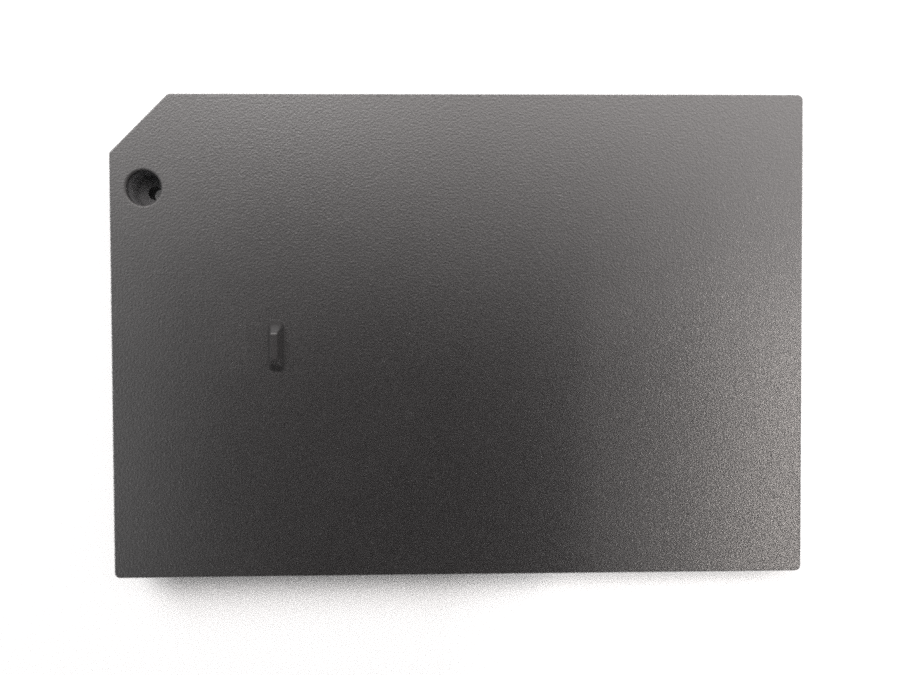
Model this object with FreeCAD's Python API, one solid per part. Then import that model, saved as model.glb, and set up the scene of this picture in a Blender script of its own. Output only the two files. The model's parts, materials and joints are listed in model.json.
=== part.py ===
# Laptop drive bay cover: one injection-moulded plastic plate that closes a 2.5-inch drive bay.
# Millimetres. X runs along the cover, Y across it, and +Z points out of the textured outer face.
# The origin lies under the middle of the plate, level with the foot of the screw boss.
import FreeCAD
import Part
import math
import os

# Plate
COVER_LENGTH = 113.0
COVER_WIDTH = 78.6
PLATE_THICKNESS = 1.8
CORNER_CUT = 9.5  # legs of the 45-degree cut beside the screw
CORNER_RADIUS = 0.9
CUT_LONG_SIDE_RADIUS = 1.2  # where the cut meets the long edge
CUT_SHORT_SIDE_RADIUS = 0.4  # where the cut meets the short edge
FACE_EDGE_RADIUS = 0.3

# Screw boss: a sunk seat for a wafer head, with a clearance hole for an M2 screw
SCREW_FROM_END = 5.5
SCREW_FROM_SIDE = 15.15
BOSS_DEPTH = 7.8  # from the outer face to the foot
BOSS_ROOT_RADIUS = 3.9
BOSS_FOOT_CHAMFER = 0.3
RECESS_RADIUS = 2.8
RECESS_DEPTH = 4.9
RECESS_RIM_RADIUS = 0.3
SCREW_HOLE_RADIUS = 1.2
BOSS_GUSSET_RUN = 3.0
BOSS_GUSSET_DROP = 3.4
BOSS_GUSSET_ANGLES = (-90.0, 0.0, 90.0)

# Thumb bar: a low bar with sloped flanks and ramped ends, proud of the outer face
BAR_FROM_END = 26.66
BAR_OFF_CENTRE = -1.53
BAR_WIDTH = 2.55
BAR_LENGTH = 8.35
BAR_CORNER = 0.9
BAR_HEIGHT = 1.85
BAR_CREST_WIDTH = 0.97
BAR_CREST_LENGTH = 4.3
BAR_CREST_CORNER = 0.1
BAR_CREST_ROUND = 0.8  # where the crest turns into the ramps
BAR_FOOT_ROUND = 0.3  # where the flanks and ramps run out into the face
BAR_RAMP_ROOM = 0.2  # how far the rounding block reaches past the ramps' feet

# Inner side: a locating rib round the edge, stiffening ribs and hooks under the bay's ledge
RIB_DRAFT = math.radians(1.0)
LEDGE_WIDTH = 1.9
LOCATING_RIB_THICKNESS = 1.2
LOCATING_RIB_DEPTH = 2.0
LOCATING_RIB_CORNER = 1.6
STIFFENER_THICKNESS = 0.9
STIFFENER_DEPTH = 1.0
BAYS_ALONG = 3
BAYS_ACROSS = 3
HOOK_WIDTH = 9.0
HOOK_GAP = 2.2
HOOK_TONGUE = 1.5
HOOK_REACH = 1.5
HOOK_WEB = 1.6
HOOK_PROUD = 0.2
HOOK_LEAD_IN = 0.5
HOOK_ROUND = 0.4
END_HOOK_FROM_SIDE = 11.0
GUSSET_THICKNESS = 1.0
HOOK_GUSSET_RUN = 2.2
EJECTOR_MARK_RADIUS = 1.5
EJECTOR_MARK_DEPTH = 0.1

# Levels and places that follow from the sizes above
FACE_Z = BOSS_DEPTH
INNER_Z = FACE_Z - PLATE_THICKNESS
SCREW_X = SCREW_FROM_END - COVER_LENGTH / 2
SCREW_Y = COVER_WIDTH / 2 - SCREW_FROM_SIDE
BAR_X = BAR_FROM_END - COVER_LENGTH / 2
BAR_Y = BAR_OFF_CENTRE
END_HOOK_Y = COVER_WIDTH / 2 - END_HOOK_FROM_SIDE
SIDE_HOOK_X = COVER_LENGTH / 4
HOOK_DEPTH = HOOK_GAP + HOOK_TONGUE
BREAKTHROUGH = 1.0  # how far a cutter runs past the face it opens
SAME_LEVEL = 1e-4

UP = FreeCAD.Vector(0, 0, 1)
DOWN = FreeCAD.Vector(0, 0, -1)


def rounded_wire(corners):
    """Closed wire through (point, radius) corners, each one rounded by its own radius."""
    rounds = []
    for index, (corner, radius) in enumerate(corners):
        following = corners[(index + 1) % len(corners)][0]
        back = (corners[index - 1][0] - corner).normalize()
        ahead = (following - corner).normalize()
        half_angle = back.getAngle(ahead) / 2
        reach = radius / math.tan(half_angle)
        middle = corner + (back + ahead).normalize() * (radius / math.sin(half_angle) - radius)
        rounds.append((corner + back * reach, middle, corner + ahead * reach, radius))
    edges = []
    for index, (start, middle, end, radius) in enumerate(rounds):
        if radius > 0:
            edges.append(Part.Arc(start, middle, end).toShape())
        edges.append(Part.LineSegment(end, rounds[(index + 1) % len(rounds)][0]).toShape())
    return Part.Wire(edges)


def cover_outline(inset, z, radii):
    """The cover's five-sided outline, moved inwards by inset."""
    x = COVER_LENGTH / 2 - inset
    y = COVER_WIDTH / 2 - inset
    cut = CORNER_CUT - inset * (2 - math.sqrt(2))
    places = [(-x, -y), (x, -y), (x, y), (cut - x, y), (-x, y - cut)]
    return rounded_wire([(FreeCAD.Vector(px, py, z), r) for (px, py), r in zip(places, radii)])


def rectangle_outline(centre, width, length, radius):
    """A rectangle with rounded corners, width along X and length along Y."""
    signs = [(-1, -1), (1, -1), (1, 1), (-1, 1)]
    places = [centre + FreeCAD.Vector(sx * width / 2, sy * length / 2, 0) for sx, sy in signs]
    return rounded_wire([(place, radius) for place in places])


def edges_at(shape, z):
    """The edges that lie wholly at one level."""
    return [edge for edge in shape.Edges if all(abs(v.Z - z) < SAME_LEVEL for v in edge.Vertexes)]


def plate():
    """The flat plate, with the edge of its outer face rounded."""
    radii = [CORNER_RADIUS] * 3 + [CUT_LONG_SIDE_RADIUS, CUT_SHORT_SIDE_RADIUS]
    body = Part.Face(cover_outline(0, INNER_Z, radii)).extrude(UP * PLATE_THICKNESS)
    return body.makeFillet(FACE_EDGE_RADIUS, edges_at(body, FACE_Z))


def rounded_crest():
    """A block wider than the thumb bar whose top rounds over into both its ends."""
    foot = FreeCAD.Vector(BAR_X - BAR_WIDTH, BAR_Y, FACE_Z)
    half_foot = BAR_LENGTH / 2 + BAR_RAMP_ROOM
    half_crest = BAR_CREST_LENGTH / 2
    section = [
        (-half_foot, 0, 0),
        (half_foot, 0, 0),
        (half_crest, BAR_HEIGHT, BAR_CREST_ROUND),
        (-half_crest, BAR_HEIGHT, BAR_CREST_ROUND),
    ]
    corners = [(foot + FreeCAD.Vector(0, y, rise), radius) for y, rise, radius in section]
    return Part.Face(rounded_wire(corners)).extrude(FreeCAD.Vector(2 * BAR_WIDTH, 0, 0))


def thumb_bar():
    """The bar: flat flanks, ramped ends and conical corners between its rounded foot and narrow crest."""
    foot = FreeCAD.Vector(BAR_X, BAR_Y, FACE_Z)
    sections = [
        rectangle_outline(foot, BAR_WIDTH, BAR_LENGTH, BAR_CORNER),
        rectangle_outline(foot + UP * BAR_HEIGHT, BAR_CREST_WIDTH, BAR_CREST_LENGTH, BAR_CREST_CORNER),
    ]
    return Part.makeLoft(sections, True, True).common(rounded_crest())


def round_bar_foot(body):
    """Runs the thumb bar's flanks and ramps out into the outer face."""
    middle = FreeCAD.Vector(BAR_X, BAR_Y, FACE_Z)
    foot = [edge for edge in edges_at(body, FACE_Z)
            if edge.CenterOfMass.distanceToPoint(middle) < BAR_LENGTH]
    return body.makeFillet(BAR_FOOT_ROUND, foot)


def locating_rib():
    """The drafted rib that drops inside the ledge of the bay and centres the cover."""
    slope = LOCATING_RIB_DEPTH * math.tan(RIB_DRAFT)
    tip_z = INNER_Z - LOCATING_RIB_DEPTH
    inner = LEDGE_WIDTH + LOCATING_RIB_THICKNESS
    outer_radii = [LOCATING_RIB_CORNER] * 5
    inner_radii = [LOCATING_RIB_CORNER - LOCATING_RIB_THICKNESS] * 5
    outside = [cover_outline(LEDGE_WIDTH, INNER_Z, outer_radii),
               cover_outline(LEDGE_WIDTH + slope, tip_z, outer_radii)]
    inside = [cover_outline(inner, INNER_Z, inner_radii),
              cover_outline(inner - slope, tip_z, inner_radii)]
    return Part.makeLoft(outside, True, True).cut(Part.makeLoft(inside, True, True))


def straight_rib(start, end):
    """A low stiffening rib on the inner face, thinner at its tip for release."""
    along = end - start
    side = UP.cross(along).normalize()
    root = side * (STIFFENER_THICKNESS / 2)
    tip = side * (STIFFENER_THICKNESS / 2 - STIFFENER_DEPTH * math.tan(RIB_DRAFT))
    drop = DOWN * STIFFENER_DEPTH
    corners = [start - root, start + root, start + drop + tip, start + drop - tip]
    return Part.Face(rounded_wire([(corner, 0) for corner in corners])).extrude(along)


def stiffening_ribs():
    """Ribs along and across the cover that divide its inner face into equal bays."""
    reach_x = COVER_LENGTH / 2 - LEDGE_WIDTH - LOCATING_RIB_THICKNESS / 2
    reach_y = COVER_WIDTH / 2 - LEDGE_WIDTH - LOCATING_RIB_THICKNESS / 2
    ribs = []
    for index in range(1, BAYS_ALONG):
        x = COVER_LENGTH * (index / BAYS_ALONG - 0.5)
        ribs.append(straight_rib(FreeCAD.Vector(x, -reach_y, INNER_Z), FreeCAD.Vector(x, reach_y, INNER_Z)))
    for index in range(1, BAYS_ACROSS):
        y = COVER_WIDTH * (index / BAYS_ACROSS - 0.5)
        ribs.append(straight_rib(FreeCAD.Vector(-reach_x, y, INNER_Z), FreeCAD.Vector(reach_x, y, INNER_Z)))
    return ribs


def profile_block(foot, outward, section, width):
    """A block of the given (outward, depth, radius) section, centred on its foot along the edge."""
    along = UP.cross(outward)
    start = foot - along * (width / 2)
    corners = [(start + outward * u + DOWN * depth, radius) for u, depth, radius in section]
    return Part.Face(rounded_wire(corners)).extrude(along * width)


def edge_hook(foot, outward):
    """An L-shaped hook whose tongue slides under the bay's ledge, with a gusset behind its web."""
    tip = HOOK_PROUD + HOOK_REACH
    section = [
        (HOOK_PROUD - HOOK_WEB, 0, 0),
        (HOOK_PROUD, 0, 0),
        (HOOK_PROUD, HOOK_GAP, HOOK_ROUND),
        (tip - HOOK_LEAD_IN, HOOK_GAP, 0),
        (tip, HOOK_GAP + HOOK_LEAD_IN, 0),
        (tip, HOOK_DEPTH, HOOK_ROUND),
        (HOOK_PROUD - HOOK_WEB, HOOK_DEPTH, HOOK_ROUND),
    ]
    hook = profile_block(foot, outward, section, HOOK_WIDTH)
    back = HOOK_PROUD - HOOK_WEB
    brace = [
        (HOOK_PROUD - HOOK_WEB / 2, 0, 0),
        (HOOK_PROUD - HOOK_WEB / 2, HOOK_GAP, 0),
        (back, HOOK_GAP, 0),
        (back - HOOK_GUSSET_RUN, 0, 0),
    ]
    return hook.fuse(profile_block(foot, outward, brace, GUSSET_THICKNESS))


def edge_hooks():
    """Two hooks on the end opposite the screw and two on each long side."""
    end_x = COVER_LENGTH / 2 - LEDGE_WIDTH
    side_y = COVER_WIDTH / 2 - LEDGE_WIDTH
    hooks = []
    for side in (-1, 1):
        end_foot = FreeCAD.Vector(end_x, side * END_HOOK_Y, INNER_Z)
        hooks.append(edge_hook(end_foot, FreeCAD.Vector(1, 0, 0)))
        for station in (-1, 1):
            side_foot = FreeCAD.Vector(station * SIDE_HOOK_X, side * side_y, INNER_Z)
            hooks.append(edge_hook(side_foot, FreeCAD.Vector(0, side, 0)))
    return hooks


def screw_boss():
    """The tapered tube under the screw, chamfered at its foot and braced by gussets."""
    foot_radius = BOSS_ROOT_RADIUS - INNER_Z * math.tan(RIB_DRAFT)
    foot = FreeCAD.Vector(SCREW_X, SCREW_Y, 0)
    boss = Part.makeCone(foot_radius, BOSS_ROOT_RADIUS, INNER_Z, foot)
    boss = boss.makeChamfer(BOSS_FOOT_CHAMFER, edges_at(boss, 0))
    section = [
        (0, 0, 0),
        (0, BOSS_GUSSET_DROP, 0),
        (BOSS_ROOT_RADIUS, BOSS_GUSSET_DROP, 0),
        (BOSS_ROOT_RADIUS + BOSS_GUSSET_RUN, 0, 0),
    ]
    for angle in BOSS_GUSSET_ANGLES:
        outward = FreeCAD.Vector(math.cos(math.radians(angle)), math.sin(math.radians(angle)), 0)
        root = FreeCAD.Vector(SCREW_X, SCREW_Y, INNER_Z)
        boss = boss.fuse(profile_block(root, outward, section, GUSSET_THICKNESS))
    return boss


def cut_screw_passage(body):
    """Sinks the screw's seat, drills the clearance hole and rounds the seat's rim."""
    seat = FreeCAD.Vector(SCREW_X, SCREW_Y, FACE_Z - RECESS_DEPTH)
    recess = Part.makeCylinder(RECESS_RADIUS, RECESS_DEPTH + BREAKTHROUGH, seat)
    hole_start = FreeCAD.Vector(SCREW_X, SCREW_Y, -BREAKTHROUGH)
    hole = Part.makeCylinder(SCREW_HOLE_RADIUS, FACE_Z, hole_start)
    bored = body.cut([recess, hole])
    mouth = FreeCAD.Vector(SCREW_X, SCREW_Y, FACE_Z)
    rim = [edge for edge in edges_at(bored, FACE_Z)
           if edge.CenterOfMass.distanceToPoint(mouth) < SAME_LEVEL]
    return bored.makeFillet(RECESS_RIM_RADIUS, rim)


def ejector_marks():
    """Shallow round marks left by the ejector pins, one in the middle of each bay."""
    marks = []
    for column in range(BAYS_ALONG):
        for row in range(BAYS_ACROSS):
            x = COVER_LENGTH * ((column + 0.5) / BAYS_ALONG - 0.5)
            y = COVER_WIDTH * ((row + 0.5) / BAYS_ACROSS - 0.5)
            middle = FreeCAD.Vector(x, y, INNER_Z - BREAKTHROUGH)
            marks.append(Part.makeCylinder(EJECTOR_MARK_RADIUS, BREAKTHROUGH + EJECTOR_MARK_DEPTH, middle))
    return marks


def drive_bay_cover():
    """The whole moulding as one solid."""
    body = plate().fuse([thumb_bar(), locating_rib(), screw_boss()] + stiffening_ribs() + edge_hooks())
    body = cut_screw_passage(round_bar_foot(body.removeSplitter()))
    return body.cut(ejector_marks()).removeSplitter()


cover = drive_bay_cover()
os.makedirs("parts", exist_ok=True)
cover.exportStep("parts/drive_bay_cover.step")
box = cover.optimalBoundingBox()
size = [round(side, 3) for side in (box.XLength, box.YLength, box.ZLength)]
print("valid", cover.isValid(), "solids", len(cover.Solids), "faces", len(cover.Faces))
print("volume mm3", round(cover.Volume, 1), "size mm", size)
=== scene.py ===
import json
import math

import bpy
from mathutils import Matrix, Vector

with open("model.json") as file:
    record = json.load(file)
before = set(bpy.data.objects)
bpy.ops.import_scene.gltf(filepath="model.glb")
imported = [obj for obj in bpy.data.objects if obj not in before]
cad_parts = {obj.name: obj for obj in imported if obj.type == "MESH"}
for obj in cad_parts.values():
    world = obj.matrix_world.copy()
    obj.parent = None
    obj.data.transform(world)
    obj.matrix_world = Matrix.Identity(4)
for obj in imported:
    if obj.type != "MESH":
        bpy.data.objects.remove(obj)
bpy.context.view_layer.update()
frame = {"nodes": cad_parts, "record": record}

# Drive bay cover: one black plastic plate, moulded in a single shot with its screw boss, ribs, hooks and
# thumb bar. The mould is etched where it forms the face and the plate's edge, and that grain is paler and
# smoother on its tops and in broad clouds, with a strong sheen. Bar and inner side come out smooth. The
# bar's foot is rougher and darker with painted shade, and the seat is painted pale as light in its recess.


class Shade:
    """One socket of a material. Arithmetic on it adds Math nodes to the material's tree."""

    def __init__(self, tree, socket=None):
        self.tree = tree
        self.socket = socket

    def node(self, kind, settings=None, sockets=None, output=0):
        """Adds a node with its settings, fills its sockets and returns one of its outputs."""
        made = self.tree.nodes.new(kind)
        for name, value in (settings or {}).items():
            setattr(made, name, value)
        for name, value in (sockets or {}).items():
            if isinstance(value, Shade):
                self.tree.links.new(value.socket, made.inputs[name])
            else:
                made.inputs[name].default_value = value
        return Shade(self.tree, made.outputs[output]) if made.outputs else None

    def math(self, operation, *values):
        return self.node("ShaderNodeMath", {"operation": operation}, dict(enumerate(values)))

    def ramp(self, limits, level=0):
        """0 below the first limit and 1 above the second, both counted from a level, smooth between."""
        return self.node("ShaderNodeMapRange", {"interpolation_type": "SMOOTHSTEP"},
                         {"Value": self, "From Min": level + limits[0], "From Max": level + limits[1]})

    def noise(self, size, detail, roughness):
        """A noise at the places that this socket gives, with lumps of about one size."""
        return self.node("ShaderNodeTexNoise", {"noise_dimensions": "3D"},
                         {"Vector": self, "Scale": 1 / size, "Detail": detail, "Roughness": roughness})

    def mix(self, first, second):
        """The first colour where this socket is 0 and the second where it is 1."""
        return self.node("ShaderNodeMix", {"data_type": "RGBA"}, {0: self, 6: first, 7: second}, output=2)

    def __add__(self, other):
        return self.math("ADD", self, other)

    def __sub__(self, other):
        return self.math("SUBTRACT", self, other)

    def __rsub__(self, other):
        return self.math("SUBTRACT", other, self)

    def __mul__(self, other):
        return self.math("MULTIPLY", self, other)

    def __pow__(self, other):
        return self.math("POWER", self, other)

    def __neg__(self):
        return 0 - self

    def __abs__(self):
        return self.math("ABSOLUTE", self)

    __radd__ = __add__
    __rmul__ = __mul__


def new_material(name):
    """An empty node material and a handle on its tree."""
    material = bpy.data.materials.new(name)
    material.use_nodes = True
    material.node_tree.nodes.clear()
    return material, Shade(material.node_tree)


cover = frame["nodes"]["drive_bay_cover"]
mounts = {mount["name"]: mount for mount in frame["record"]["mounts"]}
seat = mounts["screw_head_seat"]

MM = 0.001
PLATE_THICKNESS = 1.8 * MM
RIM_ROUND = 0.3 * MM
SEAT_DEPTH = seat["dims"]["length_mm"] * MM + RIM_ROUND
RIM_RADIUS = seat["dims"]["r_mm"] * MM + RIM_ROUND
FACE_Z = seat["pos_m"][2] + seat["dims"]["length_mm"] / 2 * MM + RIM_ROUND
INNER_Z = FACE_Z - PLATE_THICKNESS
SEAT_Z = FACE_Z - SEAT_DEPTH
SCREW_AXIS = (seat["pos_m"][0], seat["pos_m"][1], 0)
ONLY_XY = (1, 1, 0)

PLATE_EDGE_RISE = (0.3 * MM, 0.6 * MM)
BAR_FOOT_RISE = (0.002 * MM, 0.012 * MM)
# The bar's foot is rougher and also painted dark as shade. Both fade out up its sides between these
# heights.
FOOT_DULL_AND_SHADE_FADE = (0.4 * MM, 1.2 * MM)
GRAIN_AT_RIM = (-0.1 * MM, 0.1 * MM)
SMOOTH_AT_RIM = (-0.15 * MM, 0.05 * MM)
# Heights between which the seat's pale painted light fills its recess, fading out below the face.
SEAT_LIGHT_RISE = (-0.4 * MM, -0.1 * MM)
SEAT_LIGHT_FADE = (-1.2 * MM, -0.3 * MM)

GRAIN_SIZE = 0.29 * MM
GRAIN_DEPTH = 0.036 * MM
BUMP_SIZE = 0.42 * MM
BUMP_TOPS = (0.58, 0.74)
BUMP_RELIEF = 0.12
CLOUD_SIZE = 14 * MM
MOTTLE_ON_TOPS = 0.4
MOTTLE_IN_CLOUDS = 0.3

BLACK = (0.0130, 0.0119, 0.0122, 1)
PALE_MOTTLE = (0.032, 0.0300, 0.0304, 1)
# The smooth plastic is paler than the face's black: painted light that lifts the bar's shaded crest and
# flanks.
SMOOTH = (0.030, 0.0282, 0.0286, 1)
# Painted light: this pale grey in the seat stands in for light reaching down into its recess.
SEAT_PAINTED_LIGHT = (0.140, 0.140, 0.144, 1)
PLAIN_ROUGHNESS = 0.21
CLOUDS_ROUGHER = 0.05
FOOT_ROUGHER = 0.50
SEAT_ROUGHER = 0.30
INNER_ROUGHER = 0.12
TOPS_SMOOTHER = 0.03
FACE_IOR = 1.6
FACE_SHEEN = 1.0
SMOOTH_IOR = 1.53
SMOOTH_SHEEN = 0.6

plastic, build = new_material("black_plastic_etched")
place = build.node("ShaderNodeTexCoord", output="Object")
height = build.node("ShaderNodeSeparateXYZ", None, {"Vector": place}, output="Z")
in_plan = build.node("ShaderNodeVectorMath", {"operation": "MULTIPLY"}, {0: place, 1: ONLY_XY})
from_screw = build.node("ShaderNodeVectorMath", {"operation": "DISTANCE"},
                        {0: in_plan, 1: SCREW_AXIS}, output="Value")

on_plate = height.ramp(PLATE_EDGE_RISE, INNER_Z)
above_face = height.ramp(BAR_FOOT_RISE, FACE_Z)
# At the bar's foot: rougher, and darker with painted shade where it meets the face.
at_foot = above_face * (1 - height.ramp(FOOT_DULL_AND_SHADE_FADE, FACE_Z))
etched = on_plate * (1 - above_face) * from_screw.ramp(GRAIN_AT_RIM, RIM_RADIUS)
on_rim = 1 - from_screw.ramp(SMOOTH_AT_RIM, RIM_RADIUS)
# in_seat: where the seat is painted pale, as painted light in its recess.
in_seat = on_rim * height.ramp(SEAT_LIGHT_RISE, SEAT_Z) * (1 - height.ramp(SEAT_LIGHT_FADE, FACE_Z))

grain = place.noise(GRAIN_SIZE, detail=2.0, roughness=0.6)
bumps = place.noise(BUMP_SIZE, detail=1.0, roughness=0.5)
clouds = place.noise(CLOUD_SIZE, detail=3.0, roughness=0.55)
tops = bumps.ramp(BUMP_TOPS) * etched
relief = build.node("ShaderNodeBump", None,
                    {"Height": grain * etched + BUMP_RELIEF * tops, "Strength": 1.0,
                     "Distance": GRAIN_DEPTH})

# The face is paler on the tops of its grain and in broad clouds.
mottled = (MOTTLE_ON_TOPS * tops + MOTTLE_IN_CLOUDS * clouds).mix(BLACK, PALE_MOTTLE)
even = PLAIN_ROUGHNESS + CLOUDS_ROUGHER * clouds + FOOT_ROUGHER * at_foot
face = build.node("ShaderNodeBsdfPrincipled", None,
                  {"Base Color": mottled, "Roughness": even - TOPS_SMOOTHER * tops, "IOR": FACE_IOR,
                   "Specular IOR Level": FACE_SHEEN, "Normal": relief})
# Painted shade: black at the bar's foot. Painted light: pale grey in the seat.
moulded = in_seat.mix(at_foot.mix(SMOOTH, BLACK), SEAT_PAINTED_LIGHT)
uneven = even + SEAT_ROUGHER * on_rim + INNER_ROUGHER * (1 - on_plate)
smooth = build.node("ShaderNodeBsdfPrincipled", None,
                    {"Base Color": moulded, "Roughness": uneven, "IOR": SMOOTH_IOR,
                     "Specular IOR Level": SMOOTH_SHEEN})
surface = build.node("ShaderNodeMixShader", None, {0: etched, 1: smooth, 2: face})
build.node("ShaderNodeOutputMaterial", None, {"Surface": surface})
cover.material_slots[0].material = plastic

# Table: a plain white sheet that the cover lies on, face up. The cover stands on its screw boss and on the
# two hooks at its far end, so the table slopes a little against the plate.
TABLE_SIZE = 4.0
TABLE_WHITE = (0.86, 0.86, 0.86, 1)
TABLE_GLOW = 0.05
WHITE = (1, 1, 1, 1)
BOSS_FOOT_EDGE = -47.5 * MM
HOOK_EDGE = 55.9 * MM
HOOK_FOOT = 2.3 * MM


def seen_rays(build):
    """1 for a ray that shows a surface to the camera, in a mirror or through glass, and otherwise 0."""
    return sum(build.node("ShaderNodeLightPath", output=name)
               for name in ("Is Camera Ray", "Is Glossy Ray", "Is Transmission Ray"))


slope = math.atan2(HOOK_FOOT, HOOK_EDGE - BOSS_FOOT_EDGE)
bpy.ops.object.select_all(action="DESELECT")
bpy.ops.mesh.primitive_plane_add(size=TABLE_SIZE, location=(0, 0, -BOSS_FOOT_EDGE * math.tan(slope)),
                                 rotation=(0, -slope, 0))
table = bpy.context.object
table.name = "table"
white, build = new_material("white_table")
paper = build.node("ShaderNodeBsdfDiffuse", None, {"Color": TABLE_WHITE})
glow = build.node("ShaderNodeEmission", None, {"Color": WHITE, "Strength": TABLE_GLOW * seen_rays(build)})
sheet = build.node("ShaderNodeAddShader", None, {0: paper, 1: glow})
build.node("ShaderNodeOutputMaterial", None, {"Surface": sheet})
white.cycles.emission_sampling = "NONE"
table.data.materials.append(white)

# Lamps: a wide soft sun from the left beyond the cover with a small high core, a narrow warm strip on the
# right, and a lamp near on the right that fills the shadow. The wide sun and the near lamp light the cover
# without showing in it as mirror images, which would turn the face white from some sides.
LAMP_HEIGHT = 0.5
WARM_STRIP = (1.0, 0.93, 0.885)
PLAIN_LAMP = (1, 1, 1)
scene = bpy.context.scene


def sun(name, path, level, degrees, mirrored):
    """A sun that shines along a path and looks some degrees wide."""
    light = bpy.data.lights.new(name, "SUN")
    light.energy = level
    light.angle = math.radians(degrees)
    made = bpy.data.objects.new(name, light)
    made.rotation_euler = Vector(path).to_track_quat("-Z", "Y").to_euler()
    made.visible_glossy = mirrored
    scene.collection.objects.link(made)


def flat_lamp(name, x_span, y_span, glow, tint, mirrored):
    """A flat lamp that faces down, as bright as a white sheet times glow."""
    light = bpy.data.lights.new(name, "AREA")
    light.shape = "RECTANGLE"
    light.size = x_span[1] - x_span[0]
    light.size_y = y_span[1] - y_span[0]
    light.color = tint
    light.energy = glow * math.pi * light.size * light.size_y
    made = bpy.data.objects.new(name, light)
    made.location = (sum(x_span) / 2, sum(y_span) / 2, FACE_Z + LAMP_HEIGHT)
    made.visible_glossy = mirrored
    scene.collection.objects.link(made)


sun("sun_wide", path=(0.62, -1.15, -1.0), level=2.05, degrees=36, mirrored=False)
sun("sun_core", path=(0.22, -0.45, -0.87), level=0.09, degrees=6, mirrored=True)
flat_lamp("lamp_right", x_span=(0.334, 0.354), y_span=(-0.42, 0.02), glow=26.5, tint=WARM_STRIP,
          mirrored=True)
flat_lamp("box_right_near", x_span=(0.34, 0.40), y_span=(-0.78, -0.50), glow=120.0, tint=PLAIN_LAMP,
          mirrored=False)

# Cards: matt studio cards that shade the cover and darken what its sheen mirrors. A dark one with a grey
# wing on its right hangs over the near part of the cover, and a dark one stands upright further out.
CARD_Z = FACE_Z + 0.118
DARK_CARD = 0.12
GREY_CARD = 0.40
UPRIGHT = math.pi / 2


def card(name, tone, middle, width, length, tilt=0):
    """A matt card that the camera doesn't see, lying flat unless it is tilted."""
    bpy.ops.object.select_all(action="DESELECT")
    bpy.ops.mesh.primitive_plane_add(size=1, location=middle, rotation=(tilt, 0, 0))
    made = bpy.context.object
    made.name = name
    made.scale = (width, length, 1)
    made.visible_camera = False
    matt, build = new_material(name)
    paint = build.node("ShaderNodeBsdfDiffuse", None, {"Color": (tone, tone, tone, 1)})
    build.node("ShaderNodeOutputMaterial", None, {"Surface": paint})
    made.data.materials.append(matt)


card("card_above", DARK_CARD, middle=(-0.019, -0.122, CARD_Z), width=0.128, length=0.256)
card("card_wing", GREY_CARD, middle=(0.0705, -0.122, CARD_Z), width=0.051, length=0.256)
card("card_near", DARK_CARD, middle=(-0.18, -0.35, 0.22), width=0.64, length=0.42, tilt=UPRIGHT)

# Room: pale walls under a darker ceiling, with a warm window beyond the cover, a warm glow on its right
# and a plain one on its left. Each fades in and out with the direction, so that no edge of it shows in the
# sheen. The walls are white where they are seen, and light the cover at a lower level.
WALLS = 0.35
CEILING = 0.165
CEILING_RISE = (0.25, 0.5)
WARM_WINDOW = (1.0, 0.955, 0.94, 1)
WINDOW = 3.65
WINDOW_RISE = (-0.15, 0.5)
WINDOW_FADE = (0.50, 0.72)
WINDOW_LOSS = 0.8
WINDOW_SIDES = (0.5, 0.85)
WINDOW_LEAN = 0.2
LEFT = 1.7
LEFT_RISE = (0.27, 0.60)
LEFT_FADE = (0.52, 0.70)
LEFT_LOSS = 0.8
RIGHT = 3.3
RIGHT_SIDE = (0.15, 0.65)
RIGHT_RISE = (-0.10, 0.12)
RIGHT_FADE = (0.07, 0.32)
RIGHT_LOSS = 0.85
world = bpy.data.worlds.new("room")
world.use_nodes = True
scene.world = world
world.node_tree.nodes.clear()
build = Shade(world.node_tree)
direction = build.node("ShaderNodeTexCoord", output="Generated")
x, y, z = (build.node("ShaderNodeSeparateXYZ", None, {"Vector": direction}, output=axis) for axis in "XYZ")
high = z.ramp(CEILING_RISE)
walls = WALLS + (1 - WALLS) * seen_rays(build)
beyond = WINDOW * y.ramp(WINDOW_RISE) ** 3 * (1 - WINDOW_LOSS * y.ramp(WINDOW_FADE))
beyond = beyond * (1 + WINDOW_LEAN * x) * (1 - abs(x).ramp(WINDOW_SIDES))
left = LEFT * (-x).ramp(LEFT_RISE) ** 2 * (1 - LEFT_LOSS * (-x).ramp(LEFT_FADE))
right = RIGHT * x.ramp(RIGHT_SIDE) * y.ramp(RIGHT_RISE) * (1 - RIGHT_LOSS * y.ramp(RIGHT_FADE))
plain = build.node("ShaderNodeBackground", None,
                   {"Color": WHITE, "Strength": walls + high * (CEILING - walls + left)})
warm = build.node("ShaderNodeBackground", None,
                  {"Color": WARM_WINDOW, "Strength": high * (beyond + right)})
room = build.node("ShaderNodeAddShader", None, {0: plain, 1: warm})
build.node("ShaderNodeOutputWorld", None, {"Surface": room})

# Camera: a short lens that looks almost straight down on the outer face from close by, so that the screw
# hole shows off to one side under its seat. The picture isn't denoised, which keeps the fine grain, and
# its pixels are blended a little wider than usual, as a small camera does.
SENSOR_WIDTH = 36.0
FOCAL_LENGTH = 28.0
NEAREST_SEEN = 0.01
CAMERA_PLACE = (-3.798 * MM, 1.957 * MM, FACE_Z + 114.29 * MM)
CAMERA_TURN = (-0.01929, -0.01921, -0.00441)
PIXEL_BLEND = 2.0
lens = bpy.data.cameras.new("camera")
lens.sensor_width = SENSOR_WIDTH
lens.lens = FOCAL_LENGTH
lens.clip_start = NEAREST_SEEN
camera = bpy.data.objects.new("camera", lens)
camera.location = CAMERA_PLACE
camera.rotation_euler = CAMERA_TURN
scene.collection.objects.link(camera)
scene.camera = camera
scene.view_settings.view_transform = "Standard"
scene.cycles.use_denoising = False
scene.cycles.filter_width = PIXEL_BLEND
scene.cycles.use_light_tree = False
